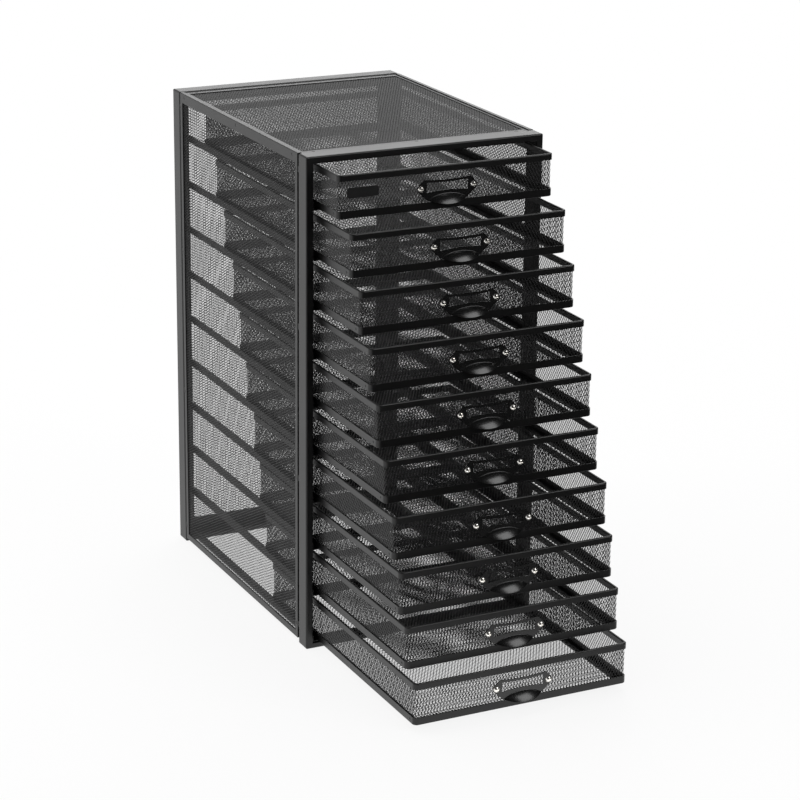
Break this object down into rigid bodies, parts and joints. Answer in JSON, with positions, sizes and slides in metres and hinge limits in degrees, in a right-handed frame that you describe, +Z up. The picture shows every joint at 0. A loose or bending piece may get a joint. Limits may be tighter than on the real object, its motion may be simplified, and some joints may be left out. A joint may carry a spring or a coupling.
{
  "type": "ten-drawer mesh desk organizer",
  "caption": "Tall black steel mesh cabinet with shallow sliding mesh trays for letter-size paper, each with a label-holder cup pull, standing open in steps.",
  "frame": {"origin": "on the ground, in the middle of the space the organizer takes up with its drawers standing open in steps", "axes": "+Z up, +Y towards the back of the cabinet, so the drawers open towards -Y, and +X to the right seen from the front"},
  "size_m": [0.263, 0.5819, 0.52],
  "materials": {
    "frame_steel": "satin black powder coat",
    "border_steel": "satin black powder coat",
    "panel_mesh": "satin black powder coat on expanded diamond mesh",
    "runner_steel": "satin black powder coat",
    "panel_screw_steel": "black, semi-matt",
    "drawer_mesh": "satin black powder coat on expanded diamond mesh",
    "drawer_hem_steel": "satin black powder coat",
    "pull_steel": "smooth satin black",
    "pull_fastener_chrome": "bright plated",
    "badge_black": "semi-gloss black, blank"
  },
  "bodies": {
    "cabinet": {"back_panel_border": "border_steel", "back_panel_mesh": "panel_mesh", "front_bottom_rail": "frame_steel", "front_left_post": "frame_steel", "front_right_post": "frame_steel", "front_top_rail": "frame_steel", "left_panel_border": "border_steel", "left_panel_mesh": "panel_mesh", "left_runners": "runner_steel", "panel_screws": "panel_screw_steel", "rear_bottom_rail": "frame_steel", "rear_left_post": "frame_steel", "rear_right_post": "frame_steel", "rear_top_rail": "frame_steel", "right_panel_border": "border_steel", "right_panel_mesh": "panel_mesh", "right_runners": "runner_steel", "top_panel_border": "border_steel", "top_panel_mesh": "panel_mesh"},
    "drawer_01": {"drawer_01_hem_bands": "drawer_hem_steel", "drawer_01_label_pull": "pull_steel", "drawer_01_mesh_tray": "drawer_mesh", "drawer_01_pull_fasteners": "pull_fastener_chrome", "blank_badge": "badge_black"},
    "drawer_02": {"drawer_02_hem_bands": "drawer_hem_steel", "drawer_02_label_pull": "pull_steel", "drawer_02_mesh_tray": "drawer_mesh", "drawer_02_pull_fasteners": "pull_fastener_chrome"},
    "drawer_03": {"drawer_03_hem_bands": "drawer_hem_steel", "drawer_03_label_pull": "pull_steel", "drawer_03_mesh_tray": "drawer_mesh", "drawer_03_pull_fasteners": "pull_fastener_chrome"},
    "drawer_04": {"drawer_04_hem_bands": "drawer_hem_steel", "drawer_04_label_pull": "pull_steel", "drawer_04_mesh_tray": "drawer_mesh", "drawer_04_pull_fasteners": "pull_fastener_chrome"},
    "drawer_05": {"drawer_05_hem_bands": "drawer_hem_steel", "drawer_05_label_pull": "pull_steel", "drawer_05_mesh_tray": "drawer_mesh", "drawer_05_pull_fasteners": "pull_fastener_chrome"},
    "drawer_06": {"drawer_06_hem_bands": "drawer_hem_steel", "drawer_06_label_pull": "pull_steel", "drawer_06_mesh_tray": "drawer_mesh", "drawer_06_pull_fasteners": "pull_fastener_chrome"},
    "drawer_07": {"drawer_07_hem_bands": "drawer_hem_steel", "drawer_07_label_pull": "pull_steel", "drawer_07_mesh_tray": "drawer_mesh", "drawer_07_pull_fasteners": "pull_fastener_chrome"},
    "drawer_08": {"drawer_08_hem_bands": "drawer_hem_steel", "drawer_08_label_pull": "pull_steel", "drawer_08_mesh_tray": "drawer_mesh", "drawer_08_pull_fasteners": "pull_fastener_chrome"},
    "drawer_09": {"drawer_09_hem_bands": "drawer_hem_steel", "drawer_09_label_pull": "pull_steel", "drawer_09_mesh_tray": "drawer_mesh", "drawer_09_pull_fasteners": "pull_fastener_chrome"},
    "drawer_10": {"drawer_10_hem_bands": "drawer_hem_steel", "drawer_10_label_pull": "pull_steel", "drawer_10_mesh_tray": "drawer_mesh", "drawer_10_pull_fasteners": "pull_fastener_chrome"}
  },
  "joints": [
    {"name": "drawer_01_slide", "type": "slide", "parent": "cabinet", "child": "drawer_01", "axis": [0, -1, 0], "range_m": [-0.045, 0.205]},
    {"name": "drawer_02_slide", "type": "slide", "parent": "cabinet", "child": "drawer_02", "axis": [0, -1, 0], "range_m": [-0.075, 0.175]},
    {"name": "drawer_03_slide", "type": "slide", "parent": "cabinet", "child": "drawer_03", "axis": [0, -1, 0], "range_m": [-0.0965, 0.1535]},
    {"name": "drawer_04_slide", "type": "slide", "parent": "cabinet", "child": "drawer_04", "axis": [0, -1, 0], "range_m": [-0.119, 0.131]},
    {"name": "drawer_05_slide", "type": "slide", "parent": "cabinet", "child": "drawer_05", "axis": [0, -1, 0], "range_m": [-0.137, 0.113]},
    {"name": "drawer_06_slide", "type": "slide", "parent": "cabinet", "child": "drawer_06", "axis": [0, -1, 0], "range_m": [-0.154, 0.096]},
    {"name": "drawer_07_slide", "type": "slide", "parent": "cabinet", "child": "drawer_07", "axis": [0, -1, 0], "range_m": [-0.174, 0.076]},
    {"name": "drawer_08_slide", "type": "slide", "parent": "cabinet", "child": "drawer_08", "axis": [0, -1, 0], "range_m": [-0.189, 0.061]},
    {"name": "drawer_09_slide", "type": "slide", "parent": "cabinet", "child": "drawer_09", "axis": [0, -1, 0], "range_m": [-0.204, 0.046]},
    {"name": "drawer_10_slide", "type": "slide", "parent": "cabinet", "child": "drawer_10", "axis": [0, -1, 0], "range_m": [-0.223, 0.027]}
  ]
}
